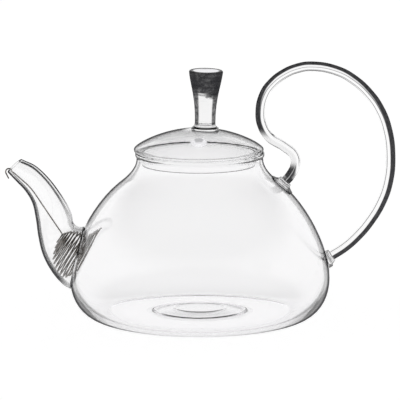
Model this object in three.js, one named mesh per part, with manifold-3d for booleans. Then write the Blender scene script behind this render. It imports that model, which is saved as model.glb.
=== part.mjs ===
// A flame-worked glass teapot of about one litre, with a looped rod handle, a lift-off lid and a spring strainer.
// Millimetres, +Z up. The origin is the centre of the ring that the pot stands on, in the plane of the table.
// The spout points to -X and the handle to +X. Glass pieces that are melted together keep a 0.3 mm seam here.
import * as THREE from "three";
import { mergeVertices } from "three/addons/utils/BufferGeometryUtils.js";
import Module from "manifold-3d";

const wasm = await Module();
wasm.setup();

// ---------------------------------------------------------------- driving sizes

const seam = 0.3; // between pieces that touch or are melted together

// The blown pot.
const bellyRadius = 72.9; // outside, at its widest
const bellyHeight = 23.3; // how high the widest place is
const standRadius = 51; // outer edge of the flat ring that the pot stands on
const puntRadius = 30; // inner edge of that ring, where the bottom starts to rise
const puntRise = 2.4; // how far the middle of the bottom is pushed up
const puntCrown = 14; // radius of the flat top of that rise
const neckRadius = 35.4; // outside
const lipHeight = 94.5; // top of the mouth
const lipBead = 0.7; // how far the fire-polished lip stands out past the neck
const wall = 1.4; // of the pot
const baseWall = 2.3; // of its bottom
const shoulderRun = 11.4; // from the neck out to the steepest place of the shoulder
const shoulderDrop = 19.2; // from the lip down to it
const shoulderSlope = THREE.MathUtils.degToRad(40.4);
const neckLength = 3.6; // upright, below the lip
// How long the curves of its outline stay on the direction of their ends.
const heelFlat = 0.62; // along the table, as a share of the way from the stand ring out to the belly
const bellyUprightBelow = 0.61; // as a share of the widest place's height
const bellyUprightAbove = 0.298; // as a share of the climb from there to the shoulder
const shoulderStraightBelow = 0.262; // down the slope, as a share of the belly's radius
const shoulderStraightAbove = 3.8; // up the slope
const neckUprightBelow = 7.3; // below the neck
const lipUpright = 1.0; // the lip's outside, below its round top

// The spout: the ends of its circles on its upper and lower outlines, from inside the pot to the mouth. Each is how
// far it stands out past the belly and its share of the climb from the root's middle to the mouth's. The first circle
// is only there for the hole through the pot's wall, which has to clear the strainer however the wall leans.
const spoutRootHeight = 34.5;
const spoutTipDrop = 7.9; // from the lip down to the middle of the spout's mouth
const spoutWall = 1.3;
const spoutUpperLine = [
  [-17.9, 0.4],
  [-6.1, 0.328],
  [-4.5, 0.336],
  [-3.1, 0.351],
  [-1.9, 0.385],
  [-1.3, 0.458],
  [1.1, 0.57],
  [5.6, 0.713],
  [11.7, 0.869],
  [19.1, 1.003],
  [26.4, 1.07],
];
const spoutLowerLine = [
  [-15.9, -0.374],
  [0.4, -0.334],
  [6.3, -0.247],
  [11.7, -0.107],
  [15.5, 0.048],
  [17.7, 0.23],
  [19.1, 0.431],
  [21.1, 0.604],
  [25.1, 0.736],
  [29.6, 0.83],
  [34.5, 0.93],
];

// The handle: one bent rod from the shoulder to the belly.
const rodRadius = 2.75;
const upperFootDrop = 18.6; // from the lip down to where the rod meets the shoulder
const lowerFootHeight = 34;
const footHeight = 3.2; // of the flare of glass under each end of the rod
const upperFootRadius = 7.2;
const lowerFootRadius = 5.4;
const footShoulder = 1.0; // how much wider than the rod a foot is at its top
const footSkirt = 0.48; // how thick a foot is at its edge
// The curl over the lid: past the neck, and above the lip.
const curlRoute = [
  [15.1, -13.4],
  [18.0, -7.4],
  [17.4, -2.0],
  [12.2, 2.9],
  [3.8, 8.3],
  [-0.3, 14.6],
  [-1.6, 22.4],
  [0.6, 32.8],
  [5.2, 39.3],
  [11.5, 44.2],
  [18.8, 47.4],
  [26.5, 48.6],
];
// The grip: past the belly, and as a share of the height from the lower foot to the curl's top.
const gripRoute = [
  [4.1, 0.975],
  [13.6, 0.926],
  [21.2, 0.861],
  [27.1, 0.785],
  [31.8, 0.675],
  [33.8, 0.53],
  [32.6, 0.401],
  [28.8, 0.295],
  [22.1, 0.191],
  [15.7, 0.12],
  [8.5, 0.06],
];

// The lid.
const lidOverhang = 0.9; // the rim's radius past the neck's
const lidRise = 13.3; // from the lip to the top of the dome
const lidEdge = 1.5; // from the rim's underside up to its widest place
const domeSteep = 0.13; // how long the dome's curve climbs upright from the rim, as a share of its rise
const domeFlat = 0.55; // how long it runs flat from its top, as a share of its radius
const lidWall = 1.4;
const lidShift = -0.6; // the lid lies loose in the neck, a little towards the spout
const collarPlay = 1.9; // round the collar, inside the neck
const collarDepth = 7.6; // below the lip
const collarWall = 1.3;
const collarTaper = 0.6; // how much narrower the collar is at its foot
const ventDistance = 22.5; // from the lid's axis, on the side away from both spout and handle
const ventRadius = 1.9;
const ventBead = 1.1; // radius of the glass ring round the vent

// The knob, a solid flared rod set a little off the dome's middle.
const knobHeight = 33.1;
const knobShift = 3.5;
const knobLean = THREE.MathUtils.degToRad(1);
const knobTopRadius = 9.5;
const knobStemRadius = 5.75;
const knobFootRadius = 7.8;
const knobDish = 0.8; // depth of the hollow in its top
const knobDishRadius = 8.3;
const knobRim = 1.1; // height of the round edge of its top
const knobSkirt = 0.6; // how thick its foot is at the edge
const knobFootHeight = 4; // where the foot's flare becomes the stem

// The strainer: one stainless wire, coiled to a barrel with a closed nose, with a tail that hooks over the spout's lip.
const wireRadius = 0.4;
const coilTurns = 13;
const coilPlay = 1.7; // round the widest turn, inside the root of the spout
const coilSpread = 0.78; // under 1, the turns stand further apart at the wide end than at the nose
// The coil's middle past the belly and above the spout's root, and its radius, at even steps from the pot to the
// nose. All are shares of its widest radius.
const coilRoute = [
  [-0.845, 0.373, 0.9],
  [-0.563, 0.211, 0.97],
  [-0.296, 0.07, 1.0],
  [0.028, 0.225, 0.91],
  [0.296, 0.521, 0.65],
  [0.394, 0.845, 0.14],
];
const coilLean = THREE.MathUtils.degToRad(27); // how far the turns lean from upright, at the wide end
const noseLean = THREE.MathUtils.degToRad(38); // and at the nose
const tailContact = 0.75; // where the tail meets the spout's lower wall, as a share of the spout's circles
const tailStandoff = 1.6; // off the wall there, and closing to nothing at the mouth
const tailEnd = 0.99; // share of the spout's circles where the tail turns into the hook
const hookRadius = 1.8; // at the wire's own centre
const hookBend = THREE.MathUtils.degToRad(165);
const hookDrop = 3.4; // straight end of the hook outside the lip

// How finely round things are cut.
const potSides = 48;
const lidSides = 48;
const smallSides = 24;
const rodSides = 12;
const wireSides = 6;
const stepsPerTurn = 18;

// ---------------------------------------------------------------- tools

// A closed geometry as a manifold-3d solid.
function solidOf(geometry) {
  const bare = geometry.clone();
  bare.deleteAttribute("normal");
  bare.deleteAttribute("uv");
  const merged = mergeVertices(bare, 1e-4);
  return new wasm.Manifold(
    new wasm.Mesh({
      numProp: 3,
      vertProperties: merged.attributes.position.array,
      triVerts: merged.index.array,
    }),
  );
}

function geometryOf(solid) {
  const mesh = solid.getMesh();
  const geometry = new THREE.BufferGeometry();
  geometry.setAttribute("position", new THREE.BufferAttribute(mesh.vertProperties, 3));
  geometry.setIndex(new THREE.BufferAttribute(mesh.triVerts, 1));
  geometry.computeVertexNormals();
  return geometry;
}

// Turns a profile of (radius, height) points round the Z axis. The profile runs with its material on the left.
function turned(profile, sides) {
  return new THREE.LatheGeometry(profile, sides).rotateX(Math.PI / 2);
}

// The profile's points moved to the left of its direction by thickness(point).
function offsetProfile(profile, thickness) {
  return profile.map((point, i) => {
    const before = profile[Math.max(i - 1, 0)];
    const after = profile[Math.min(i + 1, profile.length - 1)];
    const along = after.clone().sub(before).normalize();
    const t = thickness(point);
    return new THREE.Vector2(Math.max(point.x - along.y * t, 0), point.y + along.x * t);
  });
}

// A half circle of points from one wall of a profile over to the other, bulging ahead.
function roundedEdge(from, to, steps = 4) {
  const middle = from.clone().add(to).multiplyScalar(0.5);
  const arm = from.clone().sub(middle);
  return Array.from({ length: steps - 1 }, (_, i) =>
    arm.clone().rotateAround(new THREE.Vector2(), (Math.PI * (i + 1)) / steps).add(middle),
  );
}

// The radius of a wall at a height, where its profile climbs.
function radiusAt(profile, height) {
  const i = profile.findIndex((p, k) => k > 0 && p.y >= height && profile[k - 1].y < height);
  const [a, b] = [profile[i - 1], profile[i]];
  return THREE.MathUtils.mapLinear(height, a.y, b.y, a.x, b.x);
}

// The height of a roof at a distance from its axis, where its profile runs inwards.
function heightAt(profile, distance) {
  const i = profile.findIndex((p, k) => k > 0 && p.x <= distance && profile[k - 1].x > distance);
  const [a, b] = [profile[i - 1], profile[i]];
  return THREE.MathUtils.mapLinear(distance, a.x, b.x, a.y, b.y);
}

// A turned piece stood on a point, with its Z axis along a direction.
function stoodOn(geometry, point, direction) {
  const turn = new THREE.Quaternion().setFromUnitVectors(new THREE.Vector3(0, 0, 1), direction);
  return geometry.applyQuaternion(turn).translate(point.x, point.y, point.z);
}

function roundSection(radius, sides) {
  const section = new THREE.Shape();
  for (let i = 0; i < sides; i++) {
    const angle = (2 * Math.PI * i) / sides;
    const method = i === 0 ? "moveTo" : "lineTo";
    section[method](radius * Math.cos(angle), radius * Math.sin(angle));
  }
  section.closePath();
  return section;
}

function piece(name, geometry, material) {
  const mesh = new THREE.Mesh(geometry, material);
  mesh.name = name;
  return mesh;
}

// ---------------------------------------------------------------- materials

const glass = new THREE.MeshStandardMaterial({
  color: 0xf2f5f6,
  roughness: 0.03,
  metalness: 0,
  transparent: true,
  opacity: 0.35,
});
const steel = new THREE.MeshStandardMaterial({ color: 0x9b9790, roughness: 0.28, metalness: 1 });

// ---------------------------------------------------------------- pot

// The outside of the pot from the edge of the stand ring up to the lip.
function potOutside() {
  const shoulder = new THREE.Vector2(neckRadius + shoulderRun, lipHeight - shoulderDrop);
  const slope = new THREE.Vector2(-Math.cos(shoulderSlope), Math.sin(shoulderSlope));
  const below = shoulder.clone().addScaledVector(slope, -shoulderStraightBelow * bellyRadius);
  const above = shoulder.clone().addScaledVector(slope, shoulderStraightAbove);
  const neckFoot = lipHeight - neckLength;
  const lip = new THREE.Vector2(neckRadius + lipBead, lipHeight - wall / 2);
  const path = new THREE.Path();
  path.moveTo(standRadius, 0);
  path.bezierCurveTo(
    THREE.MathUtils.lerp(standRadius, bellyRadius, heelFlat), 0,
    bellyRadius, (1 - bellyUprightBelow) * bellyHeight,
    bellyRadius, bellyHeight,
  );
  path.bezierCurveTo(
    bellyRadius, THREE.MathUtils.lerp(bellyHeight, shoulder.y, bellyUprightAbove),
    below.x, below.y,
    shoulder.x, shoulder.y,
  );
  path.bezierCurveTo(above.x, above.y, neckRadius, neckFoot - neckUprightBelow, neckRadius, neckFoot);
  path.bezierCurveTo(
    neckRadius, (neckFoot + lip.y) / 2,
    lip.x, (neckFoot + lip.y) / 2,
    lip.x, lip.y - lipUpright,
  );
  path.lineTo(lip.x, lip.y);
  return path.getPoints(7);
}

const outside = potOutside();

// The underside from the axis out to the stand ring.
function potUnderside() {
  const slopeMiddle = (puntCrown + puntRadius) / 2;
  const path = new THREE.Path();
  path.moveTo(0, puntRise);
  path.lineTo(puntCrown, puntRise);
  path.bezierCurveTo(slopeMiddle, puntRise, slopeMiddle, 0, puntRadius, 0);
  return path.getPoints(4);
}

const potSkin = [...potUnderside(), ...outside];

// The glass is thickest in the bottom and thins to the wall's own thickness at the belly.
function potShell() {
  const inside = offsetProfile(potSkin, (point) =>
    THREE.MathUtils.lerp(baseWall, wall, THREE.MathUtils.smoothstep(point.y, puntRise, bellyHeight)),
  );
  const lip = roundedEdge(potSkin.at(-1), inside.at(-1));
  return turned([...potSkin, ...lip, ...inside.reverse()], potSides);
}

// Everything inside the pot's skin, grown by a margin: what is cut from the pieces that are melted on to it.
function potBlank(margin) {
  const grown = offsetProfile(outside, () => -margin);
  const top = new THREE.Vector2(0, grown.at(-1).y);
  const bottom = new THREE.Vector2(0, grown[0].y);
  return solidOf(turned([bottom, ...grown, top], potSides));
}

const meltLine = potBlank(seam);

// ---------------------------------------------------------------- spout

const spoutTipHeight = lipHeight - spoutTipDrop;
const rootShare = 1 / (spoutUpperLine.length - 1); // the first of the spout's circles that stands out of the pot

function spoutLine(line) {
  const points = line.map(
    ([out, share]) =>
      new THREE.Vector3(
        -(bellyRadius + out),
        0,
        THREE.MathUtils.lerp(spoutRootHeight, spoutTipHeight, share),
      ),
  );
  return new THREE.CatmullRomCurve3(points);
}

const upperLine = spoutLine(spoutUpperLine);
const lowerLine = spoutLine(spoutLowerLine);

// The spout's circle at a share of the way from inside the pot to the mouth, and straight on past the mouth.
function spoutCircle(share) {
  const upper = upperLine.getPoint(Math.min(share, 1));
  const lower = lowerLine.getPoint(Math.min(share, 1));
  const up = upper.clone().sub(lower).normalize();
  const ahead = new THREE.Vector3(-up.z, 0, up.x);
  const middle = upper.clone().add(lower).multiplyScalar(0.5);
  middle.addScaledVector(ahead, Math.max(share - 1, 0) * bellyRadius);
  return { middle, up, ahead, radius: upper.distanceTo(lower) / 2 };
}

// The spout filled solid, a thickness inside its circles and up to a share of its length.
function spoutSolid(thickness, end) {
  const rings = 2 * (spoutUpperLine.length - 1);
  const shares = [...Array.from({ length: rings + 1 }, (_, i) => i / rings), end];
  const profile = shares.map((share) => new THREE.Vector2(1, share));
  const tube = turned([new THREE.Vector2(0, 0), ...profile, new THREE.Vector2(0, end)], smallSides);
  const place = tube.attributes.position;
  for (let i = 0; i < place.count; i++) {
    const { middle, up, radius } = spoutCircle(Math.max(place.getZ(i), 0));
    const point = middle.addScaledVector(up, (radius - thickness) * place.getX(i));
    place.setXYZ(i, point.x, (radius - thickness) * place.getY(i), point.z);
  }
  return solidOf(tube);
}

const spoutChannel = spoutSolid(spoutWall, 1.05);
const potBody = solidOf(potShell()).subtract(spoutChannel);
const spout = spoutSolid(0, 1).subtract(spoutChannel).subtract(meltLine);

// ---------------------------------------------------------------- handle

const upperFootHeight = lipHeight - upperFootDrop;
const upperFoot = new THREE.Vector3(radiusAt(outside, upperFootHeight), 0, upperFootHeight);
const lowerFoot = new THREE.Vector3(radiusAt(outside, lowerFootHeight), 0, lowerFootHeight);

function handleCurve() {
  const curl = curlRoute.map(
    ([out, up]) => new THREE.Vector3(neckRadius + out, 0, lipHeight + up),
  );
  const top = curl.at(-1).z;
  const grip = gripRoute.map(
    ([out, share]) =>
      new THREE.Vector3(
        bellyRadius + out,
        0,
        THREE.MathUtils.lerp(lowerFootHeight, top, share),
      ),
  );
  const towardsCurl = curl[0].clone().sub(upperFoot).normalize();
  const towardsGrip = grip.at(-1).clone().sub(lowerFoot).normalize();
  const start = upperFoot.clone().addScaledVector(towardsCurl, footHeight + seam);
  const end = lowerFoot.clone().addScaledVector(towardsGrip, footHeight + seam);
  const curve = new THREE.CatmullRomCurve3([start, ...curl, ...grip, end], false, "centripetal");
  return { curve, towardsCurl, towardsGrip };
}

const { curve: rodCurve, towardsCurl, towardsGrip } = handleCurve();

function handleRod() {
  return new THREE.ExtrudeGeometry(roundSection(rodRadius, rodSides), {
    steps: 84,
    extrudePath: rodCurve,
    bevelEnabled: false,
  });
}

// A flare of glass between the pot's skin and an end of the rod, square to the rod at its top.
function foot(point, direction, radius) {
  const sunk = -radius; // starts this far inside the pot, and the melt line cuts it off
  const top = rodRadius + footShoulder;
  const path = new THREE.Path();
  path.moveTo(0, sunk);
  path.lineTo(radius, sunk);
  path.lineTo(radius, footSkirt);
  path.quadraticCurveTo(top, 3 * footSkirt, top, footHeight);
  path.lineTo(0, footHeight);
  const flare = stoodOn(turned(path.getPoints(5), smallSides), point, direction);
  return geometryOf(solidOf(flare).subtract(meltLine));
}

// ---------------------------------------------------------------- lid

const rimRadius = neckRadius + lidOverhang;
const seatHeight = lipHeight + seam;
const neckInside = neckRadius - wall;
const collarRadius = neckInside - collarPlay;

// The dome from its top out and round its edge to where it meets the collar, as seen from outside.
function domeOutside() {
  const top = lipHeight + lidRise;
  const widest = seatHeight + lidEdge;
  const path = new THREE.Path();
  path.moveTo(collarRadius + collarTaper, seatHeight);
  path.lineTo(rimRadius - lidEdge, seatHeight);
  path.quadraticCurveTo(rimRadius, seatHeight, rimRadius, widest);
  path.bezierCurveTo(rimRadius, widest + domeSteep * lidRise, domeFlat * rimRadius, top, 0, top);
  return path.getPoints(12);
}

const domeSkin = domeOutside();

// The dome's outside without its underside, grown by the seam: what is cut from the knob's foot.
function domeBlank() {
  const grown = offsetProfile(domeSkin, () => -seam);
  const base = new THREE.Vector2(0, grown[0].y);
  return solidOf(turned([base, ...grown, new THREE.Vector2(0, lipHeight + lidRise + seam)], lidSides));
}

function lidDome() {
  const under = offsetProfile(domeSkin, () => lidWall);
  under[0] = new THREE.Vector2(domeSkin[0].x, seatHeight + lidWall);
  under[under.length - 1] = new THREE.Vector2(0, lipHeight + lidRise - lidWall);
  const shell = turned([...domeSkin, ...under.reverse(), domeSkin[0]], lidSides);
  const climb = heightAt(domeSkin, ventDistance - 1) - heightAt(domeSkin, ventDistance + 1);
  const outward = new THREE.Vector3(0, -climb, 2).normalize();
  const vent = new THREE.Vector3(0, -ventDistance, heightAt(domeSkin, ventDistance));
  const bead = stoodOn(
    new THREE.TorusGeometry(ventRadius + ventBead, ventBead, 8, smallSides),
    vent,
    outward,
  );
  const drillReach = 4 * lidWall;
  const drillProfile = [
    new THREE.Vector2(0, -drillReach),
    new THREE.Vector2(ventRadius, -drillReach),
    new THREE.Vector2(ventRadius, drillReach),
    new THREE.Vector2(0, drillReach),
  ];
  const drill = stoodOn(turned(drillProfile, smallSides), vent, outward);
  return geometryOf(solidOf(shell).add(solidOf(bead)).subtract(solidOf(drill)));
}

// The ring under the dome that keeps the lid in the neck.
function lidCollar() {
  const top = seatHeight - seam;
  const bottom = lipHeight - collarDepth;
  const path = new THREE.Path();
  path.moveTo(collarRadius - collarTaper - collarWall / 2, bottom);
  path.quadraticCurveTo(
    collarRadius - collarTaper, bottom,
    collarRadius - collarTaper, bottom + collarWall / 2,
  );
  path.lineTo(collarRadius, top);
  path.lineTo(collarRadius - collarWall, top);
  path.lineTo(collarRadius - collarTaper - collarWall, bottom + collarWall / 2);
  path.closePath();
  return turned(path.getPoints(3), lidSides);
}

function lidKnob() {
  const sunk = -knobFootHeight; // starts this far inside the dome, and the dome's blank cuts it off
  const path = new THREE.Path();
  path.moveTo(0, sunk);
  path.lineTo(knobFootRadius, sunk);
  path.lineTo(knobFootRadius, knobSkirt);
  path.quadraticCurveTo(knobStemRadius, 0.4 * knobFootHeight, knobStemRadius, knobFootHeight);
  path.bezierCurveTo(
    knobStemRadius, 0.55 * knobHeight,
    0.9 * knobTopRadius, 0.72 * knobHeight,
    knobTopRadius, knobHeight - knobRim,
  );
  path.quadraticCurveTo(knobTopRadius, knobHeight, knobDishRadius, knobHeight);
  path.quadraticCurveTo(
    0.57 * knobDishRadius, knobHeight - knobDish,
    0, knobHeight - knobDish,
  );
  const profile = path.getPoints(6);
  const knob = turned(profile, smallSides)
    .rotateY(knobLean)
    .translate(knobShift, 0, lipHeight + lidRise);
  return geometryOf(solidOf(knob).subtract(domeBlank()));
}

// ---------------------------------------------------------------- strainer

// The wire's own line: the coil from its wide end to its nose, then the tail up the spout, then the hook.
class StrainerWire extends THREE.Curve {
  constructor() {
    super();
    this.stations = [...this.coil(), ...this.tail(), ...this.hook()];
  }

  coil() {
    const widest = spoutCircle(rootShare).radius - spoutWall - coilPlay - wireRadius;
    const root = new THREE.Vector3(-bellyRadius, spoutRootHeight, 0);
    const middle = new THREE.CatmullRomCurve3(
      coilRoute.map(([out, up, radius]) =>
        new THREE.Vector3(-out, up, radius).multiplyScalar(widest).add(root),
      ),
    );
    const steps = Math.round(coilTurns * stepsPerTurn);
    return Array.from({ length: steps + 1 }, (_, i) => {
      const share = (i / steps) ** coilSpread;
      const { x, y: height, z: radius } = middle.getPoint(share);
      const angle = (2 * Math.PI * i) / stepsPerTurn;
      const lean = THREE.MathUtils.lerp(coilLean, noseLean, share);
      const rise = radius * Math.cos(angle);
      return new THREE.Vector3(
        x + rise * Math.sin(lean),
        radius * Math.sin(angle),
        height + rise * Math.cos(lean),
      );
    });
  }

  // Along the spout's lower wall, inside it.
  tail() {
    const steps = 9;
    const against = Array.from({ length: steps }, (_, i) => {
      const share = i / (steps - 1);
      const { middle, up, radius } = spoutCircle(THREE.MathUtils.lerp(tailContact, tailEnd, share));
      const offWall = seam + tailStandoff * (1 - share);
      return middle.addScaledVector(up, spoutWall + wireRadius + offWall - radius);
    });
    const nose = this.coil().at(-1);
    const straight = [0.2, 0.4, 0.6, 0.8].map((share) => nose.clone().lerp(against[0], share));
    return [...straight, ...against];
  }

  // Over the lip, then down outside it.
  hook() {
    const { middle, up, ahead, radius } = spoutCircle(1);
    const lip = middle.addScaledVector(up, spoutWall / 2 - radius);
    const steps = 7;
    const along = (angle) =>
      up.clone().multiplyScalar(Math.cos(angle)).addScaledVector(ahead, Math.sin(angle));
    const bend = Array.from({ length: steps }, (_, i) =>
      lip.clone().addScaledVector(along((hookBend * i) / (steps - 1)), hookRadius),
    );
    return [...bend, bend.at(-1).clone().addScaledVector(along(hookBend + Math.PI / 2), hookDrop)];
  }

  // The stations are already spaced as the wire's bends need, so length and parameter are the same here.
  getPoint(t) {
    const place = t * (this.stations.length - 1);
    const i = Math.min(Math.floor(place), this.stations.length - 2);
    return this.stations[i].clone().lerp(this.stations[i + 1], place - i);
  }

  getPointAt(u) {
    return this.getPoint(u);
  }

  getTangentAt(u) {
    const step = 0.5 / (this.stations.length - 1);
    const ahead = this.getPoint(Math.min(u + step, 1));
    return ahead.sub(this.getPoint(Math.max(u - step, 0))).normalize();
  }
}

function strainer() {
  const wire = new StrainerWire();
  return new THREE.ExtrudeGeometry(roundSection(wireRadius, wireSides), {
    steps: wire.stations.length - 1,
    extrudePath: wire,
    bevelEnabled: false,
  });
}

// ---------------------------------------------------------------- assembly

const teapot = new THREE.Group();
teapot.add(
  piece("pot_body", geometryOf(potBody), glass),
  piece("spout", geometryOf(spout), glass),
  piece("handle", handleRod(), glass),
  piece("handle_upper_foot", foot(upperFoot, towardsCurl, upperFootRadius), glass),
  piece("handle_lower_foot", foot(lowerFoot, towardsGrip, lowerFootRadius), glass),
  piece("strainer", strainer(), steel),
);

const lid = new THREE.Group();
lid.position.x = lidShift;
lid.add(
  piece("lid_dome", lidDome(), glass),
  piece("lid_collar", lidCollar(), glass),
  piece("lid_knob", lidKnob(), glass),
);
teapot.add(lid);

export default teapot;
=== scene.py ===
"""A flame-worked glass teapot with a lift-off lid and a spring strainer, built round its frame."""

import math

import bpy
from mathutils import Matrix, Vector
from mathutils.geometry import interpolate_bezier


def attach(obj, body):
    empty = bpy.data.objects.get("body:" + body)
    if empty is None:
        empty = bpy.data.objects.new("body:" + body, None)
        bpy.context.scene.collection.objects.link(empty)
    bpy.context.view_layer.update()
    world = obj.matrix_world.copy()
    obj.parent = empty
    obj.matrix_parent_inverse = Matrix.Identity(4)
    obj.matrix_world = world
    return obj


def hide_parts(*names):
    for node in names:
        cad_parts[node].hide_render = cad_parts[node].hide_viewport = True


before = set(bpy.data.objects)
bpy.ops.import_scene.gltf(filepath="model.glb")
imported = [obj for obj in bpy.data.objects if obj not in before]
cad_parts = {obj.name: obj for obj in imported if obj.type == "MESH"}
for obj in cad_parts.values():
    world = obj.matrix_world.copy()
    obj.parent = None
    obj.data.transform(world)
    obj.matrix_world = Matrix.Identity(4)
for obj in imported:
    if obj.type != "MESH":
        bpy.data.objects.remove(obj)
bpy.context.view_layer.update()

# ---------------------------------------------------------------- studio
# A long lens a little above the lid, a white sweep for a floor, and a bright room that darkens
# towards its ceiling, so that clear glass shows by its edges.

camera_aim = Vector((0.0001, 0, 0.0673))
bpy.ops.object.camera_add(location=(0, -2.64, 0.55))
camera = bpy.context.object
camera.rotation_euler = (camera_aim - camera.location).to_track_quat("-Z", "Y").to_euler()
camera.data.lens = 431
camera.data.clip_end = 50
bpy.context.scene.camera = camera
bpy.context.scene.view_settings.view_transform = "Standard"
bpy.context.scene.cycles.transmission_bounces = 24
bpy.context.scene.cycles.max_bounces = 28

bpy.ops.mesh.primitive_plane_add(size=16)
floor = bpy.context.object
floor.name = "floor"
floor_paint = bpy.data.materials.new("floor_paint")
floor_paint.use_nodes = True
floor_shader = floor_paint.node_tree.nodes["Principled BSDF"]
floor_shader.inputs["Base Color"].default_value = (0.5, 0.5, 0.5, 1)
floor_shader.inputs["Roughness"].default_value = 0.9
floor_shader.inputs["Specular IOR Level"].default_value = 0.0
floor_shader.inputs["Emission Color"].default_value = (1, 1, 1, 1)
floor_shader.inputs["Emission Strength"].default_value = 0.86
floor.data.materials.append(floor_paint)

room = bpy.data.worlds.new("studio_room")
bpy.context.scene.world = room
room.use_nodes = True
room_nodes = room.node_tree.nodes
room_direction = room_nodes.new("ShaderNodeTexCoord")
room_height = room_nodes.new("ShaderNodeSeparateXYZ")
room_shade = room_nodes.new("ShaderNodeValToRGB")
room.node_tree.links.new(room_direction.outputs["Generated"], room_height.inputs[0])
room.node_tree.links.new(room_height.outputs["Z"], room_shade.inputs["Fac"])
room.node_tree.links.new(room_shade.outputs["Color"], room_nodes["Background"].inputs["Color"])
room_shade.color_ramp.elements[0].position = 0.35
room_shade.color_ramp.elements[0].color = (1, 1, 1, 1)
room_shade.color_ramp.elements[1].position = 0.6
room_shade.color_ramp.elements[1].color = (0.1, 0.1, 0.1, 1)
room_nodes["Background"].inputs["Strength"].default_value = 1.05

# ---------------------------------------------------------------- blown pot
# Blown borosilicate glass, thickest in its pushed-up bottom, with a fire-polished lip. The spout's
# hole is burnt through its wall.

mm = 0.001
seam = 0.3 * mm
belly_radius, belly_height = 72.9 * mm, 23.3 * mm
neck_radius, lip_height, lip_bead = 35.4 * mm, 94.5 * mm, 0.7 * mm
neck_length, lip_upright = 3.6 * mm, 1.0 * mm
stand_radius, punt_radius, punt_crown, punt_rise = 51 * mm, 30 * mm, 14 * mm, 2.4 * mm
pot_wall, base_wall = 1.4 * mm, 2.3 * mm
shoulder_run, shoulder_drop, shoulder_slope = 11.4 * mm, 19.2 * mm, math.radians(40.4)
shoulder = Vector((neck_radius + shoulder_run, 0, lip_height - shoulder_drop))
# How long the outline keeps the direction it has where its curves join.
heel_flat, belly_upright_below, belly_upright_above = 0.62, 0.61, 0.298
shoulder_straight_below, shoulder_straight_above = 0.262, 3.8 * mm
neck_upright_below = 7.3 * mm
# The rings on the inside of the bottom, each with its radius and height.
bottom_rings = ((13 * mm, 0.45 * mm), (25 * mm, 0.6 * mm), (50.5 * mm, 0.5 * mm))
ring_width = 1.1 * mm


def mix(a, b, share):
    return a + (b - a) * share


def flow(*knots, steps=12):
    """Points along joined cubic curves: each runs from the last knot by two handles to the next."""
    points = [Vector(knots[0])]
    for i in range(1, len(knots), 3):
        knot = [Vector(k) for k in knots[i : i + 3]]
        points += interpolate_bezier(points[-1], knot[0], knot[1], knot[2], steps + 1)[1:]
    return points


def offset(outline, thickness):
    """An outline moved to its left, as it runs, by thickness(point)."""
    moved = []
    for i, point in enumerate(outline):
        along = (outline[min(i + 1, len(outline) - 1)] - outline[max(i - 1, 0)]).normalized()
        t = thickness(point)
        moved.append(Vector((max(point.x - along.z * t, 0), 0, point.z + along.x * t)))
    return moved


def half_round(start, end, steps=6):
    """Points of a half circle from one outline's end to another's, bulging to the right."""
    middle, arm = (start + end) / 2, (start - end) / 2
    return [
        middle + Matrix.Rotation(-math.pi * i / steps, 3, "Y") @ arm for i in range(1, steps)
    ]


def begin_piece(name, add, **sizes):
    """Adds a primitive by itself and opens it in edit mode, all selected."""
    bpy.ops.object.select_all(action="DESELECT")
    add(**sizes)
    piece = bpy.context.object
    piece.name = name
    bpy.ops.object.transform_apply(location=True, rotation=True, scale=True)
    bpy.ops.object.mode_set(mode="EDIT")
    bpy.ops.mesh.select_all(action="SELECT")
    return piece


def close_mesh():
    """Merges doubles, turns the faces outwards and leaves edit mode."""
    bpy.ops.mesh.select_all(action="SELECT")
    bpy.ops.mesh.remove_doubles(threshold=1e-6)
    bpy.ops.mesh.normals_make_consistent(inside=False)
    bpy.ops.object.mode_set(mode="OBJECT")


def turn(name, outline, steps=144):
    """A piece turned round the Z axis from an outline in the XZ plane."""
    piece = begin_piece(name, bpy.ops.mesh.primitive_plane_add, size=mm)
    bpy.ops.mesh.merge(type="CENTER")
    bpy.ops.transform.translate(value=outline[0])
    for here, there in zip(outline, outline[1:]):
        bpy.ops.mesh.extrude_vertices_move(TRANSFORM_OT_translate={"value": there - here})
    bpy.ops.mesh.select_all(action="SELECT")
    bpy.ops.mesh.spin(steps=steps, angle=2 * math.pi, center=(0, 0, 0), axis=(0, 0, 1))
    close_mesh()
    return piece


def choose(piece):
    bpy.ops.object.select_all(action="DESELECT")
    piece.select_set(True)
    bpy.context.view_layer.objects.active = piece


def modify(piece, kind, **settings):
    """Adds a modifier and applies it."""
    choose(piece)
    bpy.ops.object.modifier_add(type=kind)
    modifier = piece.modifiers[-1]
    for key, value in settings.items():
        setattr(modifier, key, value)
    bpy.ops.object.modifier_apply(modifier=modifier.name)


def cut(piece, tool, operation="DIFFERENCE", keep=False):
    """Cuts one closed piece by another, and throws the tool away unless it is kept."""
    modify(piece, "BOOLEAN", object=tool, operation=operation, solver="EXACT")
    if not keep:
        bpy.data.objects.remove(tool)


def smooth(piece, degrees=35):
    choose(piece)
    bpy.ops.object.shade_smooth_by_angle(angle=math.radians(degrees))


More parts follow.
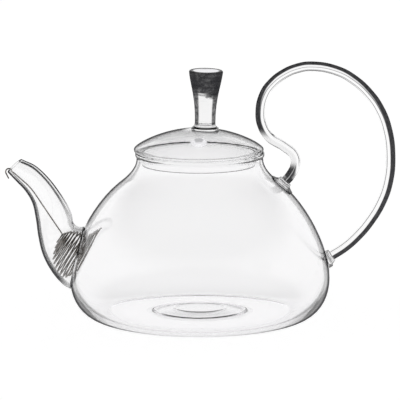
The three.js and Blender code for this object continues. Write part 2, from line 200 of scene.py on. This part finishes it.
def pot_skin():
    """The outside, from the edge of the stand ring up to the lip."""
    slope = Vector((-math.cos(shoulder_slope), 0, math.sin(shoulder_slope)))
    neck_foot = lip_height - neck_length
    lip = Vector((neck_radius + lip_bead, 0, lip_height - pot_wall / 2))
    lip_middle = (neck_foot + lip.z) / 2
    return flow(
        (stand_radius, 0, 0),
        (mix(stand_radius, belly_radius, heel_flat), 0, 0),
        (belly_radius, 0, (1 - belly_upright_below) * belly_height),
        (belly_radius, 0, belly_height),
        (belly_radius, 0, mix(belly_height, shoulder.z, belly_upright_above)),
        shoulder - slope * shoulder_straight_below * belly_radius,
        shoulder,
        shoulder + slope * shoulder_straight_above,
        (neck_radius, 0, neck_foot - neck_upright_below),
        (neck_radius, 0, neck_foot),
        (neck_radius, 0, lip_middle),
        (lip.x, 0, lip_middle),
        (lip.x, 0, lip.z - lip_upright),
    ) + [lip]


def ease(share):
    """0 to 1, starting and ending gently."""
    share = min(max(share, 0), 1)
    return share * share * (3 - 2 * share)


def pot_underside(steps=72):
    """The bottom, from its middle out to the stand ring."""
    radii = [stand_radius * i / steps for i in range(steps)]
    fall = [ease((radius - punt_crown) / (punt_radius - punt_crown)) for radius in radii]
    return [Vector((radius, 0, punt_rise * (1 - share))) for radius, share in zip(radii, fall)]


def pot_thickness(point):
    """The wall, thicker in the bottom, with the rings that the blower's tools left there."""
    thickness = mix(base_wall, pot_wall, ease((point.z - punt_rise) / (belly_height - punt_rise)))
    if point.z <= punt_rise:
        for radius, height in bottom_rings:
            thickness += height * math.exp(-(((point.x - radius) / ring_width) ** 2))
    return thickness


pot_outline = pot_underside() + pot_skin()
pot_lining = offset(pot_outline, pot_thickness)
pot_lip = half_round(pot_outline[-1], pot_lining[-1])
pot = turn("pot_body_glass", pot_outline + pot_lip + pot_lining[::-1])


class Shade:
    """A socket of a material's nodes, with Python's arithmetic for numbers."""

    def __init__(self, paint, socket):
        self.paint, self.socket = paint, socket

    def maths(self, operation, *values):
        return self.paint.node("ShaderNodeMath", {"operation": operation}, *values)

    def __add__(self, other):
        return self.maths("ADD", self, other)

    def __radd__(self, other):
        return self.maths("ADD", other, self)

    def __sub__(self, other):
        return self.maths("SUBTRACT", self, other)

    def __rsub__(self, other):
        return self.maths("SUBTRACT", other, self)

    def __mul__(self, other):
        return self.maths("MULTIPLY", self, other)

    def __rmul__(self, other):
        return self.maths("MULTIPLY", other, self)

    def __pow__(self, other):
        return self.maths("POWER", self, other)


class Paint:
    """A material being mixed from nodes."""

    def __init__(self, name, **constants):
        self.material = bpy.data.materials.new(name)
        self.material.use_nodes = True
        self.tree = self.material.node_tree
        self.shader = self.tree.nodes["Principled BSDF"]
        for key, value in constants.items():
            self.shader.inputs[key.replace("_", " ")].default_value = value

    def node(self, kind, settings, *values, output=0, **named):
        """Any node: its type, its settings, then the values or links of its sockets."""
        node = self.tree.nodes.new(kind)
        for key, value in settings.items():
            if key == "stops":
                ramp = node.color_ramp.elements
                while len(ramp) < len(value):
                    ramp.new(0.5)
                for element, (position, color) in zip(ramp, value):
                    element.position, element.color = position, color
            else:
                setattr(node, key, value)
        for key, value in [*enumerate(values), *named.items()]:
            self.plug(node.inputs[key.replace("_", " ") if isinstance(key, str) else key], value)
        return Shade(self, node.outputs[output])

    def plug(self, socket, value):
        if isinstance(value, Shade):
            self.tree.links.new(value.socket, socket)
        else:
            socket.default_value = value

    def feed(self, **values):
        """Links what varies over the surface to the shader."""
        for key, value in values.items():
            self.plug(self.shader.inputs[key.replace("_", " ")], value)

    def turned_away(self):
        """0 in the middle of a round thing and 1 at its outline: the square of the way across."""
        facing = self.node("ShaderNodeLayerWeight", {}, 0.5, output="Facing")
        return 1 - (1 - facing) ** 2

    def ramp(self, value, start, full):
        """Rises smoothly from 0 to 1 as a value goes from start to full."""
        return self.node(
            "ShaderNodeMapRange",
            {"interpolation_type": "SMOOTHSTEP"},
            Value=value,
            From_Min=start,
            From_Max=full,
        )

    def edge(self, start, full):
        """Rises from 0 to 1 towards the outline, by how far the surface is turned away."""
        return self.ramp(self.turned_away(), start, full)

    def way(self, operation, *values, output=0):
        """Vector arithmetic."""
        return self.node("ShaderNodeVectorMath", {"operation": operation}, *values, output=output)

    def part_of(self, vector, axis):
        return self.node("ShaderNodeSeparateXYZ", {}, vector, output=axis)

    def surface(self, what):
        """The surface's Normal, or whether it is Backfacing."""
        return self.node("ShaderNodeNewGeometry", {}, output=what)

    def rise(self):
        """How much the surface faces up: 1 for a table's top and 0 for a wall."""
        return self.part_of(self.surface("Normal"), "Z")

    def place(self, scale=(1, 1, 1)):
        """Object coordinates, stretched."""
        coordinates = self.node("ShaderNodeTexCoord", {}, output="Object")
        return self.node("ShaderNodeMapping", {}, Vector=coordinates, Scale=scale)

    def along(self, axis):
        return self.part_of(self.place(), axis)

    def noise(self, scale, detail, distortion=0.0):
        """Noise over the piece, from 0 to 1 and mostly near the middle."""
        return self.node(
            "ShaderNodeTexNoise",
            {},
            Vector=self.place(scale),
            Scale=1.0,
            Detail=detail,
            Distortion=distortion,
        )

    def blend(self, share, first, last):
        """A color between two, each a stop of a color ramp."""
        return self.node("ShaderNodeValToRGB", {"stops": [first, last]}, share)


# Colors of painted light on glass: the dark of painted edge shade, the white of a painted glint, and no
# glow.
painted_shade_color, painted_glint_white, unlit = (0.03, 0.03, 0.034, 1), (0.93, 0.93, 0.95, 1), (0, 0, 0, 1)


def clear_glass(paint, outline, body, density, waves, wave_scale, painted_glint=None):
    """Clear glass: outline is how much painted shade darkens its edges, body the color its depth takes
    on, waves how high its surface ripples, and glint how much of that painted shade glows white
    instead, as a painted highlight.
    """
    ripple = paint.noise(wave_scale, 2.0)
    bump = paint.node("ShaderNodeBump", {}, Strength=1.0, Distance=waves, Height=ripple)
    paint.feed(Roughness=paint.noise((90, 90, 60), 3.0) * 0.03, Normal=bump)
    # A dark shader mixed in over the edges as painted shade, glowing white as a painted highlight where
    # glint asks.
    painted_shade_and_glint = paint.node(
        "ShaderNodeBsdfPrincipled",
        {},
        Base_Color=painted_shade_color,
        Roughness=0.5,
        Specular_IOR_Level=0.0,
        Emission_Color=paint.blend(painted_glint, (0, unlit), (1, painted_glint_white)) if painted_glint else unlit,
        Emission_Strength=1.0,
    )
    clear = Shade(paint, paint.shader.outputs["BSDF"])
    both = paint.node("ShaderNodeMixShader", {}, outline, clear, painted_shade_and_glint)
    depth = paint.node("ShaderNodeVolumeAbsorption", {}, Color=body, Density=density)
    outlet = paint.tree.nodes["Material Output"]
    paint.plug(outlet.inputs["Surface"], both)
    paint.plug(outlet.inputs["Volume"], depth)
    return paint.material


def glass_paint(name):
    return Paint(name, Transmission_Weight=1.0, IOR=1.47, Roughness=0.0, Base_Color=(1, 1, 1, 1))


# Its edges are darkened by painted shade, but not on its level places and not where the spout is melted
# on.
tube_tint = (0.3, 0.27, 0.34, 1)
weld_middle, weld_radius, weld_end = (-68 * mm, 0, 36 * mm), 15 * mm, 22 * mm
pot_paint = glass_paint("pot_glass")
pot_upright = pot_paint.ramp(pot_paint.rise() ** 2, 0.94, 0.7)
from_weld = pot_paint.way("DISTANCE", pot_paint.place(), weld_middle, output="Value")
pot_clear_of_weld = pot_paint.ramp(from_weld, weld_radius, weld_end)
pot_glass = clear_glass(
    pot_paint,
    outline=pot_paint.edge(0.94, 0.985) * pot_upright * pot_clear_of_weld * 0.9,
    body=tube_tint,
    density=30,
    waves=0.05 * mm,
    wave_scale=(45, 45, 110),
)


def fit(piece, material, body, node):
    """Gives a finished piece its material and its body, and hides the frame's node that it stands for.
    """
    piece.data.materials.clear()
    piece.data.materials.append(material)
    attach(piece, body)
    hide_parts(node)


# ---------------------------------------------------------------- spout
# Drawn tube of the same glass, swelling to a wide root that is melted on round the hole, and bent in
# an S to a mouth cut oblique and fire-polished. Its circles run between an upper and a lower line.

spout_root_height, spout_tip_drop, spout_wall = 34.5 * mm, 7.9 * mm, 1.3 * mm
spout_root = Vector((-belly_radius, 0, spout_root_height))
spout_climb = lip_height - spout_tip_drop - spout_root.z
spout_rings, mouth_steps = 60, 8
spout_upper_line = (
    (-17.9, 0.4), (-6.1, 0.328), (-4.5, 0.336), (-3.1, 0.351), (-1.9, 0.385), (-1.3, 0.458),
    (1.1, 0.57), (5.6, 0.713), (11.7, 0.869), (19.1, 1.003), (26.4, 1.07),
)
spout_lower_line = (
    (-15.9, -0.374), (0.4, -0.334), (6.3, -0.247), (11.7, -0.107), (15.5, 0.048), (17.7, 0.23),
    (19.1, 0.431), (21.1, 0.604), (25.1, 0.736), (29.6, 0.83), (34.5, 0.93),
)


class Through:
    """A smooth line through points, read by its share from the first to the last."""

    def __init__(self, points):
        first, last = points[0] * 2 - points[1], points[-1] * 2 - points[-2]
        self.points = [first, *points, last]

    def at(self, share):
        spans = len(self.points) - 3
        i = min(max(math.floor(share * spans), 0), spans - 1)
        a, b, c, d = self.points[i : i + 4]
        gaps = [max((q - p).length ** 0.5, 1e-6) for p, q in ((a, b), (b, c), (c, d))]
        leave = (b - a) / gaps[0] - (c - a) / (gaps[0] + gaps[1]) + (c - b) / gaps[1]
        arrive = (c - b) / gaps[1] - (d - b) / (gaps[1] + gaps[2]) + (d - c) / gaps[2]
        t = share * spans - i
        hermite = (
            b * (2 * t**3 - 3 * t**2 + 1)
            + leave * gaps[1] * (t**3 - 2 * t**2 + t)
            + c * (3 * t**2 - 2 * t**3)
            + arrive * gaps[1] * (t**3 - t**2)
        )
        return hermite


def spout_line(line):
    return Through([spout_root + Vector((-out * mm, 0, rise * spout_climb)) for out, rise in line])


upper_line, lower_line = spout_line(spout_upper_line), spout_line(spout_lower_line)


def spout_circle(share):
    """Middle, upward and forward direction and radius of a circle, straight on past the mouth."""
    upper, lower = upper_line.at(min(share, 1)), lower_line.at(min(share, 1))
    up = (upper - lower).normalized()
    ahead = Vector((-up.z, 0, up.x))
    middle = (upper + lower) / 2 + ahead * max(share - 1, 0) * belly_radius
    return middle, up, ahead, (upper - lower).length / 2


def draw_tube(name, circles, sides=96, closed=False):
    """A tube from circle to circle, each a middle, up, ahead and radius, capped or closed on itself."""
    middle, up, ahead, radius = circles[0]
    facing = Matrix((up.cross(ahead), up, ahead)).transposed().to_euler()
    piece = begin_piece(
        name,
        bpy.ops.mesh.primitive_circle_add,
        vertices=sides,
        radius=radius,
        location=middle,
        rotation=facing,
        fill_type="NOTHING" if closed else "NGON",
    )
    for before, after in zip(circles, circles[1:] + (circles[:1] if closed else [])):
        pull = bpy.ops.mesh.extrude_edges_move if closed else bpy.ops.mesh.extrude_region_move
        pull(TRANSFORM_OT_translate={"value": after[0] - before[0]})
        growth = after[3] / before[3]
        bpy.ops.transform.resize(value=(growth, growth, growth), center_override=after[0])
        swing = math.atan2(after[1].x, after[1].z) - math.atan2(before[1].x, before[1].z)
        bpy.ops.transform.rotate(value=-swing, orient_axis="Y", center_override=after[0])
    close_mesh()
    return piece


def inset_circle(share, depth):
    middle, up, ahead, radius = spout_circle(share)
    return middle, up, ahead, radius - depth


def spout_circles():
    """Out along the outside, round the polished mouth and back along the channel."""
    shares = [i / spout_rings for i in range(spout_rings + 1)]
    outside = [inset_circle(share, 0) for share in shares]
    channel = [inset_circle(share, spout_wall) for share in reversed(shares)]
    middle, up, ahead, radius = spout_circle(1)
    rim = spout_wall / 2
    angles = [math.pi * i / mouth_steps for i in range(1, mouth_steps)]
    mouth = [
        (middle + ahead * rim * math.sin(a), up, ahead, radius - rim + rim * math.cos(a))
        for a in angles
    ]
    return outside + mouth + channel


channel_circles = [inset_circle(i / spout_rings, spout_wall) for i in range(spout_rings + 4)]
cut(pot, draw_tube("spout_channel", channel_circles))
smooth(pot)
fit(pot, pot_glass, "pot", "pot_body")

melt_outline = offset(pot_skin(), lambda point: -seam)
melt_outline.insert(0, Vector((0, 0, melt_outline[0].z)))
melt_outline.append(Vector((0, 0, melt_outline[-1].z)))
pot_blank = turn("pot_blank", melt_outline)

spout = draw_tube("spout_glass", spout_circles(), closed=True)
cut(spout, pot_blank, keep=True)
smooth(spout)
# Its edges are darkened by painted shade, broader under the narrow upper half and weaker where it is
# melted on.
throat_low, throat_high = 38 * mm, 58 * mm
weld_start, weld_full = -80 * mm, -73 * mm
spout_paint = glass_paint("spout_glass")
underside = spout_paint.ramp(spout_paint.rise(), 0.1, -0.3)
underside = underside * spout_paint.ramp(spout_paint.along("Z"), throat_low, throat_high)
spout_edge_shade = spout_paint.edge(0.76 - underside * 0.16, 0.88 - underside * 0.12)
spout_weld = spout_paint.ramp(spout_paint.along("X"), weld_start, weld_full)
spout_glass = clear_glass(
    spout_paint,
    outline=spout_edge_shade * (0.96 - spout_weld * 0.6),
    body=tube_tint,
    density=25,
    waves=0.05 * mm,
    wave_scale=(60, 60, 60),
)
fit(spout, spout_glass, "pot", "spout")

# ---------------------------------------------------------------- handle
# One solid glass rod, bent in the flame into a curl over the lid and a wide grip, and melted to the
# shoulder and the belly through a small gather of glass at each end.

rod_radius = 2.75 * mm
foot_height, foot_shoulder, foot_skirt, foot_round = 3.2 * mm, 1.0 * mm, 0.48 * mm, 0.4 * mm
upper_foot_height, upper_foot_radius = lip_height - 18.6 * mm, 7.2 * mm
lower_foot_height, lower_foot_radius = 34 * mm, 5.4 * mm
curl_route = (
    (15.1, -13.4), (18.0, -7.4), (17.4, -2.0), (12.2, 2.9), (3.8, 8.3), (-0.3, 14.6),
    (-1.6, 22.4), (0.6, 32.8), (5.2, 39.3), (11.5, 44.2), (18.8, 47.4), (26.5, 48.6),
)
grip_route = (
    (4.1, 0.975), (13.6, 0.926), (21.2, 0.861), (27.1, 0.785), (31.8, 0.675), (33.8, 0.53),
    (32.6, 0.401), (28.8, 0.295), (22.1, 0.191), (15.7, 0.12), (8.5, 0.06),
)


def wall_point(height):
    """Where the pot's outside is at a height, on the handle's side."""
    skin = pot_skin()
    i = next(k for k in range(1, len(skin)) if skin[k].z >= height > skin[k - 1].z)
    a, b = skin[i - 1], skin[i]
    return a + (b - a) * (height - a.z) / (b.z - a.z)


def bend_rod(name, points, radius, sides, resolution):
    """A round rod along a smooth line through points, with closed ends."""
    bpy.ops.object.select_all(action="DESELECT")
    bpy.ops.curve.primitive_bezier_curve_add()
    rod = bpy.context.object
    rod.name = name
    line = rod.data
    line.dimensions = "3D"
    line.bevel_depth = radius
    line.bevel_resolution = sides
    line.resolution_u = resolution
    line.use_fill_caps = True
    line.twist_mode = "MINIMUM"
    spline = line.splines[0]
    spline.bezier_points.add(len(points) - 2)
    for knot, point in zip(spline.bezier_points, points):
        knot.co = point
        knot.handle_left_type = knot.handle_right_type = "AUTO"
    bpy.ops.object.convert(target="MESH")
    bpy.ops.object.mode_set(mode="EDIT")
    close_mesh()
    return rod


upper_foot, lower_foot = wall_point(upper_foot_height), wall_point(lower_foot_height)
curl = [Vector((neck_radius + out * mm, 0, lip_height + up * mm)) for out, up in curl_route]
grip = [
    Vector((belly_radius + out * mm, 0, mix(lower_foot_height, curl[-1].z, share)))
    for out, share in grip_route
]
upper_lean = (curl[0] - upper_foot).normalized()
lower_lean = (grip[-1] - lower_foot).normalized()
rod_start = upper_foot + upper_lean * (foot_height + seam)
rod_end = lower_foot + lower_lean * (foot_height + seam)
handle = bend_rod("handle_rod", [rod_start, *curl, *grip, rod_end], rod_radius, sides=8, resolution=12)
smooth(handle)

# A broad band of painted shade runs along the side that faces out of the loop, and a thin line of
# painted shade along the other. The band fades in the back bend over the upper foot, and neither is
# seen through the rod.
rod_tint = (0.35, 0.33, 0.36, 1)
loop_middle = (66 * mm, 0, 100 * mm)
back_bend_top, back_bend_foot, back_bend_reach = 108 * mm, 85 * mm, 58 * mm
rod_paint = glass_paint("rod_glass")
from_middle = rod_paint.way("NORMALIZE", rod_paint.way("SUBTRACT", rod_paint.place(), loop_middle))
outwards = rod_paint.way("DOT_PRODUCT", rod_paint.surface("Normal"), from_middle, output="Value")
back_bend = (
    rod_paint.ramp(rod_paint.along("Z"), back_bend_top, back_bend_top - 6 * mm)
    * rod_paint.ramp(rod_paint.along("Z"), back_bend_foot, back_bend_foot + 5 * mm)
    * rod_paint.ramp(rod_paint.along("X"), back_bend_reach + 8 * mm, back_bend_reach)
)
outer_side = rod_paint.ramp(outwards, -0.05, 0.1)
outer_flank = rod_paint.ramp(rod_paint.turned_away() - outwards * outwards * 0.35, -0.01, 0.03)
outer_shade_mottle = 1.05 - rod_paint.noise((500, 500, 500), 2.0) * 0.1
outer_shade_band = outer_side * outer_flank * outer_shade_mottle * (1 - back_bend * 0.85)
inner_side = rod_paint.ramp(outwards, -0.2, -0.35)
faces_down = rod_paint.ramp(rod_paint.rise(), -0.4, -0.75)
inner_shade_line = rod_paint.edge(0.38, 0.45) - rod_paint.edge(0.52, 0.62)
inner_shade_line = inner_shade_line * inner_side * (1 - faces_down * 0.6)
rod_glass = clear_glass(
    rod_paint,
    outline=(outer_shade_band * 0.97 + inner_shade_line * 0.85) * (1 - rod_paint.surface("Backfacing")),
    body=rod_tint,
    density=15,
    waves=0.04 * mm,
    wave_scale=(60, 60, 60),
)
fit(handle, rod_glass, "pot", "handle")


def stand_on(piece, point, direction):
    """Stands a turned piece's mesh on a point, with its axis along a direction."""
    choose(piece)
    piece.rotation_euler = direction.to_track_quat("Z", "Y").to_euler()
    piece.location = point
    bpy.ops.object.transform_apply(location=True, rotation=True, scale=True)


def foot_outline(radius):
    top = rod_radius + foot_shoulder
    flare = flow(
        (radius, 0, foot_skirt),
        (mix(radius, top, 0.67), 0, 2.2 * foot_skirt),
        (top, 0, mix(foot_height, 3 * foot_skirt, 0.67)),
        (top, 0, foot_height - foot_round),
        (top, 0, foot_height - foot_round / 4),
        (top - foot_round / 4, 0, foot_height),
        (top - foot_round, 0, foot_height),
    )
    return [Vector((0, 0, -radius)), Vector((radius, 0, -radius)), *flare, Vector((0, 0, foot_height))]


# The gathers' edges are darkened by painted shade.
foot_paint = glass_paint("foot_glass")
foot_glass = clear_glass(
    foot_paint,
    outline=foot_paint.edge(0.7, 0.97) * 0.55,
    body=rod_tint,
    density=15,
    waves=0.2 * mm,
    wave_scale=(200, 200, 200),
)
for name, point, lean, radius in (
    ("handle_upper_foot", upper_foot, upper_lean, upper_foot_radius),
    ("handle_lower_foot", lower_foot, lower_lean, lower_foot_radius),
):
    gather = turn(name + "_gather", foot_outline(radius), steps=64)
    stand_on(gather, point, lean)
    cut(gather, pot_blank, keep=True)
    smooth(gather)
    fit(gather, foot_glass, "pot", name)

# ---------------------------------------------------------------- lid dome
# A blown disc with a rolled rim that lies on the pot's lip, and a steam vent pierced in its side
# within a raised ring of glass.

lid_shift, lid_overhang = -0.6 * mm, 0.9 * mm
rim_radius = neck_radius + lid_overhang
lid_rise, lid_edge, lid_wall = 13.3 * mm, 1.5 * mm, 1.4 * mm
dome_steep, dome_flat = 0.13, 0.55
seat_height = lip_height + seam
collar_play, collar_taper = 1.9 * mm, 0.6 * mm
collar_radius = neck_radius - pot_wall - collar_play
vent_distance, vent_radius, vent_bead = 22.5 * mm, 1.9 * mm, 1.1 * mm
drill_reach = 6 * mm


def dome_skin():
    """From the rim's underside out round the rim and up to the top."""
    top, widest = lip_height + lid_rise, seat_height + lid_edge
    return [Vector((collar_radius + collar_taper, 0, seat_height))] + flow(
        (rim_radius - lid_edge, 0, seat_height),
        (rim_radius - lid_edge / 3, 0, seat_height),
        (rim_radius, 0, seat_height + lid_edge / 3),
        (rim_radius, 0, widest),
        (rim_radius, 0, widest + dome_steep * lid_rise),
        (dome_flat * rim_radius, 0, top),
        (0, 0, top),
        steps=18,
    )


dome_outline = dome_skin()
dome_lining = offset(dome_outline, lambda point: lid_wall)
dome_lining[0] = Vector((dome_outline[0].x, 0, seat_height + lid_wall))
dome_lining[-1] = Vector((0, 0, lip_height + lid_rise - lid_wall))
dome = turn("lid_dome_glass", dome_outline + dome_lining[::-1] + dome_outline[:1])


def dome_height(distance):
    """How high the dome's outside is at a distance from its axis."""
    top = dome_outline
    i = next(k for k in range(2, len(top)) if top[k].x <= distance < top[k - 1].x)
    a, b = top[i - 1], top[i]
    return a.z + (b.z - a.z) * (distance - a.x) / (b.x - a.x)


vent_fall = dome_height(vent_distance - mm) - dome_height(vent_distance + mm)
vent_way = Vector((0, -vent_fall, 2 * mm)).normalized()
vent_place = Vector((0, -vent_distance, dome_height(vent_distance)))
bpy.ops.object.select_all(action="DESELECT")
bpy.ops.mesh.primitive_torus_add(
    major_segments=64,
    minor_segments=20,
    major_radius=vent_radius + vent_bead,
    minor_radius=vent_bead,
)
vent_ring = bpy.context.object
stand_on(vent_ring, vent_place, vent_way)
cut(dome, vent_ring, "UNION")
drill_outline = [
    Vector((0, 0, -drill_reach)),
    Vector((vent_radius, 0, -drill_reach)),
    Vector((vent_radius, 0, drill_reach)),
    Vector((0, 0, drill_reach)),
]
vent_drill = turn("vent_drill", drill_outline, steps=48)
stand_on(vent_drill, vent_place, vent_way)
cut(dome, vent_drill)


def set_lid_piece(piece):
    """Moves a lid piece's mesh to the lid's place in the neck."""
    choose(piece)
    piece.location.x = lid_shift
    bpy.ops.object.transform_apply(location=True, rotation=True, scale=True)


set_lid_piece(dome)
smooth(dome)
# Its edges are darkened by painted shade, but not on the flat seat. The ring round the vent is
# fire-polished, and its shine is a painted highlight that glows white by emission.
vent_middle = (vent_place.x + lid_shift, vent_place.y, vent_place.z)
ring_reach, ring_end = vent_radius + 2.4 * vent_bead, vent_radius + 2.8 * vent_bead
lid_paint = glass_paint("lid_glass")
from_vent = lid_paint.way("DISTANCE", lid_paint.place(), vent_middle, output="Value")
off_ring = lid_paint.ramp(from_vent, ring_reach, ring_end)
lid_sloping = lid_paint.ramp(lid_paint.rise() ** 2, 0.997, 0.975)
lid_glass = clear_glass(
    lid_paint,
    outline=lid_paint.edge(0.93, 0.985) * lid_sloping * off_ring * 0.9 + (1 - off_ring) * 0.5,
    painted_glint=1 - off_ring,
    body=tube_tint,
    density=30,
    waves=0.04 * mm,
    wave_scale=(70, 70, 140),
)
fit(dome, lid_glass, "lid", "lid_dome")

# ---------------------------------------------------------------- lid collar
# A short length of the same tube, melted under the dome, that keeps the lid in the neck.

collar_wall, collar_depth = 1.3 * mm, 7.6 * mm


def collar_outline():
    top, bottom = seat_height - seam, lip_height - collar_depth
    foot = collar_radius - collar_taper
    outer = [Vector((collar_radius, 0, top)), Vector((foot, 0, bottom + collar_wall / 2))]
    inner = [Vector((foot - collar_wall, 0, outer[1].z)), Vector((collar_radius - collar_wall, 0, top))]
    return outer + half_round(outer[1], inner[0], steps=8) + inner + outer[:1]


collar = turn("lid_collar_glass", collar_outline())
set_lid_piece(collar)
smooth(collar)
# Its edges are darkened faintly by painted shade.
collar_paint = glass_paint("collar_glass")
collar_glass = clear_glass(
    collar_paint,
    outline=collar_paint.edge(0.95, 1.0) * 0.25,
    body=tube_tint,
    density=20,
    waves=0.04 * mm,
    wave_scale=(70, 70, 140),
)
fit(collar, collar_glass, "lid", "lid_collar")

# ---------------------------------------------------------------- knob
# A solid rod of glass, flared at its dished top and at its foot, and melted on a little off the
# dome's middle.

knob_height, knob_stem_radius = 33.1 * mm, 5.75 * mm
knob_top_radius, knob_foot_radius = 9.5 * mm, 7.8 * mm
knob_rim, knob_dish, knob_dish_radius = 1.1 * mm, 0.8 * mm, 8.3 * mm
knob_skirt, knob_foot_height = 0.6 * mm, 4 * mm
knob_shift, knob_lean = 3.5 * mm, math.radians(1)


def knob_outline():
    foot_curve = mix(knob_skirt, 0.4 * knob_foot_height, 0.67)
    flare = flow(
        (knob_foot_radius, 0, knob_skirt),
        (mix(knob_foot_radius, knob_stem_radius, 0.67), 0, foot_curve),
        (knob_stem_radius, 0, 0.6 * knob_foot_height),
        (knob_stem_radius, 0, knob_foot_height),
        (knob_stem_radius, 0, 0.55 * knob_height),
        (0.9 * knob_top_radius, 0, 0.72 * knob_height),
        (knob_top_radius, 0, knob_height - knob_rim),
        (knob_top_radius, 0, knob_height - 0.33 * knob_rim),
        (mix(knob_top_radius, knob_dish_radius, 0.33), 0, knob_height),
        (knob_dish_radius, 0, knob_height),
        (0.7 * knob_dish_radius, 0, knob_height - 0.67 * knob_dish),
        (0.38 * knob_dish_radius, 0, knob_height - knob_dish),
        (0, 0, knob_height - knob_dish),
    )
    sunk = -knob_foot_height
    return [Vector((0, 0, sunk)), Vector((knob_foot_radius, 0, sunk)), *flare]


dome_blank_outline = offset(dome_outline, lambda point: -seam)
dome_blank_outline.insert(0, Vector((0, 0, dome_blank_outline[0].z)))
dome_blank_outline[-1] = Vector((0, 0, lip_height + lid_rise + seam))
dome_blank = turn("dome_blank", dome_blank_outline)
knob_foot = Vector((knob_shift, 0, lip_height + lid_rise))
knob = turn("lid_knob_glass", knob_outline(), steps=96)
knob_axis = Vector((math.sin(knob_lean), 0, math.cos(knob_lean)))
stand_on(knob, knob_foot, knob_axis)
cut(knob, dome_blank)
set_lid_piece(knob)
smooth(knob)
# Painted shade darkens it down its sides and all over its thick head, with a streaky slanting end, and
# leaves the middle of its stem clear. Seen from the side, its top glows white by emission, a painted
# highlight, within a grey rim of painted shade.
rim_inside, rim_outside = 6.8 * mm, 8.2 * mm
knob_paint = glass_paint("knob_glass")
knob_up, knob_across = knob_paint.along("Z"), knob_paint.along("X")
shade_streak = knob_paint.noise((260, 260, 420), 4.0, 1.2)
shade_mottle = knob_paint.ramp(shade_streak, 0.38, 0.62)
head_shade = knob_paint.ramp(
    knob_up + shade_streak * 6 * mm + knob_across * 0.5,
    knob_foot.z + 0.68 * knob_height,
    knob_foot.z + 0.78 * knob_height,
)
stem = knob_paint.ramp(knob_up, knob_foot.z + 1 * mm, knob_foot.z + 4 * mm)
knob_upright = knob_paint.ramp(knob_paint.rise(), 0.85, 0.6)
knob_side_shade = knob_paint.edge(0.33, 0.5) * stem * (0.8 + shade_mottle * 0.18)
knob_head_shade = head_shade * (0.72 + shade_mottle * 0.25)
knob_painted_shade = (knob_side_shade + (1 - knob_side_shade) * knob_head_shade) * knob_upright
knob_top_paint_mask = (
    knob_paint.ramp(knob_up, knob_foot.z + 0.9 * knob_height, knob_foot.z + 0.95 * knob_height)
    * knob_paint.edge(0.8, 0.94)
    * (1 - knob_upright)
)
knob_out = knob_paint.way(
    "DISTANCE", knob_paint.place((1, 1, 0)), (knob_shift, 0, 0), output="Value"
)
knob_painted_glint = knob_top_paint_mask * knob_paint.ramp(knob_out, rim_inside + 1 * mm, rim_inside)
knob_rim_shade = knob_top_paint_mask * knob_paint.ramp(knob_out, rim_outside - 1 * mm, rim_outside)
knob_glass = clear_glass(
    knob_paint,
    outline=knob_painted_shade * 0.95 + knob_painted_glint * 0.85 + knob_rim_shade * 0.6,
    painted_glint=knob_painted_glint,
    body=(0.3, 0.29, 0.3, 1),
    density=15,
    waves=0.1 * mm,
    wave_scale=(60, 60, 40),
)
fit(knob, knob_glass, "lid", "lid_knob")

# ---------------------------------------------------------------- strainer
# One stainless spring wire, coiled to a barrel with a closed nose that sits in the spout's root. Its
# tail runs up the spout and hooks over the lip.

wire_radius = 0.4 * mm
coil_turns, coil_play, coil_spread = 13, 1.7 * mm, 0.78
coil_route = (
    (-0.845, 0.373, 0.9), (-0.563, 0.211, 0.97), (-0.296, 0.07, 1.0),
    (0.028, 0.225, 0.91), (0.296, 0.521, 0.65), (0.394, 0.845, 0.14),
)
coil_lean, nose_lean = math.radians(27), math.radians(38)
coil_root = 0.1
tail_contact, tail_end, tail_standoff, tail_steps = 0.75, 0.99, 1.6 * mm, 8
hook_radius, hook_bend, hook_drop, hook_steps = 1.8 * mm, math.radians(165), 3.4 * mm, 8


def coil_points(steps_per_turn=20):
    """From the wide end in the pot to the closed nose in the spout."""
    widest = spout_circle(coil_root)[3] - spout_wall - coil_play - wire_radius
    middles = Through([spout_root + Vector((-out, 0, up)) * widest for out, up, _ in coil_route])
    radii = Through([Vector((row[2] * widest, i * mm, 0)) for i, row in enumerate(coil_route)])
    steps = coil_turns * steps_per_turn
    points = []
    for i in range(steps + 1):
        share, angle = (i / steps) ** coil_spread, 2 * math.pi * i / steps_per_turn
        radius, lean = radii.at(share).x, mix(coil_lean, nose_lean, share)
        rise = radius * math.cos(angle)
        ring = Vector((rise * math.sin(lean), radius * math.sin(angle), rise * math.cos(lean)))
        points.append(middles.at(share) + ring)
    return points


def tail_points():
    """Straight from the nose to the spout's lower wall, then along it to the mouth."""
    wall = []
    for i in range(tail_steps + 1):
        middle, up, _, radius = spout_circle(mix(tail_contact, tail_end, i / tail_steps))
        clear = spout_wall + wire_radius + seam + tail_standoff * (1 - i / tail_steps)
        wall.append(middle + up * (clear - radius))
    nose = coil_points()[-1]
    return [nose.lerp(wall[0], share) for share in (0.2, 0.4, 0.6, 0.8)] + wall


def hook_points():
    """Over the spout's lip and down outside it."""
    middle, up, ahead, radius = spout_circle(1)
    lip = middle + up * (spout_wall / 2 - radius)
    bend = []
    for i in range(hook_steps + 1):
        angle = hook_bend * i / hook_steps
        bend.append(lip + (up * math.cos(angle) + ahead * math.sin(angle)) * hook_radius)
    end = hook_bend + math.pi / 2
    return bend + [bend[-1] + (up * math.cos(end) + ahead * math.sin(end)) * hook_drop]


wire_points = coil_points() + tail_points() + hook_points()
strainer = bend_rod("strainer_wire", wire_points, wire_radius, sides=2, resolution=2)
smooth(strainer, 60)

steel = Paint("steel_wire", Metallic=1.0)
drawn = steel.noise((900, 900, 900), 3.0)
tone = steel.blend(drawn, (0.3, (0.07, 0.062, 0.055, 1)), (0.7, (0.3, 0.275, 0.25, 1)))
steel.feed(Base_Color=tone, Roughness=0.22 + drawn * 0.2)
fit(strainer, steel.material, "pot", "strainer")

bpy.data.objects.remove(pot_blank)
